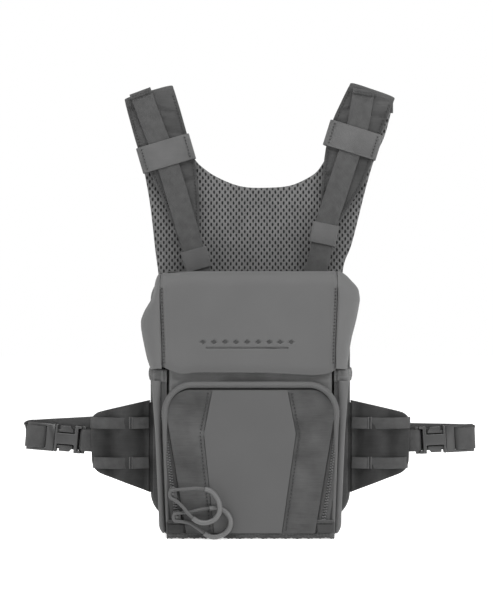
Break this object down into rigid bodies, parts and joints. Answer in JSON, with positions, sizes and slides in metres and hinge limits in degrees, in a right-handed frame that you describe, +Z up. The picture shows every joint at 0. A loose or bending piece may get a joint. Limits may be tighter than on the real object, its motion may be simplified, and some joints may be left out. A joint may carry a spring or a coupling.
{
  "type": "binocular harness pack",
  "caption": "Chest pack for a binocular on a padded mesh shoulder harness, with a hooded lid, zippered front pocket, stretch side pockets, belt wings and side-release buckles.",
  "frame": {"origin": "centre of the flat bottom, on the surface the pack stands on", "axes": "+Z up, -Y out of the front pocket, +X to the right as seen from the front"},
  "size_m": [0.4146, 0.1145, 0.4096],
  "materials": {
    "pack_cloth": "matte woven nylon",
    "lining": "smooth",
    "back_padding": "mesh-faced foam",
    "piping": "bound edge",
    "zipper_tape": "woven tape",
    "zipper_coil": "nylon coil",
    "stretch_cloth": "stretch knit",
    "elastic": "woven elastic",
    "magnet": "plated",
    "webbing": "ribbed webbing",
    "mesh": "spacer mesh",
    "lid_cloth": "softshell",
    "smooth_cloth": "coated",
    "slider_metal": "black",
    "cord": "braided",
    "moulded_plastic": "satin",
    "wing_cloth": "woven nylon",
    "thread": "sewn"
  },
  "bodies": {
    "pack": {"main_shell": "pack_cloth", "shell_liner": "lining", "back_panel": "back_padding", "panel_piping": "piping", "lid_hinge_band": "pack_cloth", "front_band": "pack_cloth", "pocket_gusset": "pack_cloth", "zipper_tape": "zipper_tape", "zipper_coil_outer": "zipper_coil", "zip_end_tabs": "pack_cloth", "bottom_binding": "piping", "side_pocket_left": "stretch_cloth", "side_pocket_right": "stretch_cloth", "pocket_hem_left": "elastic", "pocket_hem_right": "elastic", "shell_magnets": "magnet", "shoulder_pad_left": "pack_cloth", "shoulder_pad_right": "pack_cloth", "shoulder_webbing_left": "webbing", "shoulder_webbing_right": "webbing", "wide_keeper_left": "elastic", "wide_keeper_right": "elastic"},
    "lid": {"lid_shell": "lid_cloth", "lid_magnets": "magnet"},
    "pocket_flap": {"flap_backing": "zipper_tape", "flap_centre_panel": "smooth_cloth", "flap_side_panel_left": "pack_cloth", "flap_side_panel_right": "pack_cloth", "zipper_coil_inner": "zipper_coil"},
    "upper_slider": {"zipper_slider_upper": "slider_metal"},
    "lower_slider": {"zipper_slider_lower": "slider_metal"},
    "upper_pull": {"pull_cord_upper": "cord", "pull_grip_upper": "moulded_plastic"},
    "lower_pull": {"pull_cord_lower": "cord", "pull_grip_lower": "moulded_plastic"},
    "left_keeper": {"small_keeper_left": "elastic"},
    "right_keeper": {"small_keeper_right": "elastic"},
    "yoke": {"yoke_panel": "mesh", "yoke_straps": "webbing"},
    "left_wing": {"wing_pad_left": "wing_cloth", "wing_webbing_left": "webbing", "wing_bartacks_left": "thread", "buckle_anchor_left": "webbing", "buckle_socket_left": "moulded_plastic"},
    "left_plug": {"buckle_plug_left": "moulded_plastic", "side_strap_left": "webbing"},
    "left_upper_arm": {"buckle_arm_upper_left": "moulded_plastic"},
    "left_lower_arm": {"buckle_arm_lower_left": "moulded_plastic"},
    "right_wing": {"wing_pad_right": "wing_cloth", "wing_webbing_right": "webbing", "wing_bartacks_right": "thread", "buckle_anchor_right": "webbing", "buckle_socket_right": "moulded_plastic"},
    "right_plug": {"buckle_plug_right": "moulded_plastic", "side_strap_right": "webbing"},
    "right_upper_arm": {"buckle_arm_upper_right": "moulded_plastic"},
    "right_lower_arm": {"buckle_arm_lower_right": "moulded_plastic"}
  },
  "joints": [
    {"name": "lid_hinge", "type": "hinge", "parent": "pack", "child": "lid", "pos_m": [0, 0.037, 0.2315], "axis": [-1, 0, 0], "range_deg": [0, 90]},
    {"name": "flap_hinge", "type": "hinge", "parent": "pack", "child": "pocket_flap", "pos_m": [0, -0.0515, 0.003], "axis": [1, 0, 0], "range_deg": [0, 50]},
    {"name": "upper_slider_slide", "type": "slide", "parent": "pocket_flap", "child": "upper_slider", "axis": [-0.1633, 0, 0.9866], "range_m": [0, 0.058]},
    {"name": "lower_slider_slide", "type": "slide", "parent": "pocket_flap", "child": "lower_slider", "axis": [-0.1633, 0, 0.9866], "range_m": [0, 0.0045]},
    {"name": "upper_pull_swing", "type": "hinge", "parent": "upper_slider", "child": "upper_pull", "pos_m": [-0.06529, -0.0535, 0.04], "axis": [0, -1, 0], "range_deg": [-15, 60]},
    {"name": "lower_pull_swing", "type": "hinge", "parent": "lower_slider", "child": "lower_pull", "pos_m": [-0.06198, -0.0535, 0.02], "axis": [0, -1, 0], "range_deg": [0, 20]},
    {"name": "left_keeper_slide", "type": "slide", "parent": "pack", "child": "left_keeper", "axis": [-0.2663, 0, 0.9639], "range_m": [0, 0.005]},
    {"name": "right_keeper_slide", "type": "slide", "parent": "pack", "child": "right_keeper", "axis": [0.2091, 0, 0.9779], "range_m": [-0.014, 0.006]},
    {"name": "yoke_swing", "type": "hinge", "parent": "pack", "child": "yoke", "pos_m": [0, 0.055, 0.3878], "axis": [1, 0, 0], "range_deg": [0, 35]},
    {"name": "left_wing_fold", "type": "hinge", "parent": "pack", "child": "left_wing", "pos_m": [-0.0918, 0.05, 0.07], "axis": [0, 0, -1], "range_deg": [0, 75]},
    {"name": "left_buckle_slide", "type": "slide", "parent": "left_wing", "child": "left_plug", "axis": [-0.9962, 0, 0.0872], "range_m": [0, 0.026]},
    {"name": "left_upper_arm_squeeze", "type": "hinge", "parent": "left_plug", "child": "left_upper_arm", "pos_m": [-0.17898, 0.0455, 0.08866], "axis": [0, 1, 0], "range_deg": [0, 6], "stiffness_Nm_per_rad": 0.05},
    {"name": "left_lower_arm_squeeze", "type": "hinge", "parent": "left_plug", "child": "left_lower_arm", "pos_m": [-0.18017, 0.0455, 0.07511], "axis": [0, -1, 0], "range_deg": [0, 6], "stiffness_Nm_per_rad": 0.05},
    {"name": "right_wing_fold", "type": "hinge", "parent": "pack", "child": "right_wing", "pos_m": [0.0918, 0.05, 0.07], "axis": [0, 0, 1], "range_deg": [0, 75]},
    {"name": "right_buckle_slide", "type": "slide", "parent": "right_wing", "child": "right_plug", "axis": [0.9986, 0, 0.0523], "range_m": [0, 0.026]},
    {"name": "right_upper_arm_squeeze", "type": "hinge", "parent": "right_plug", "child": "right_upper_arm", "pos_m": [0.1793, 0.0455, 0.08752], "axis": [0, -1, 0], "range_deg": [0, 6], "stiffness_Nm_per_rad": 0.05},
    {"name": "right_lower_arm_squeeze", "type": "hinge", "parent": "right_plug", "child": "right_lower_arm", "pos_m": [0.18001, 0.0455, 0.07394], "axis": [0, 1, 0], "range_deg": [0, 6], "stiffness_Nm_per_rad": 0.05}
  ]
}
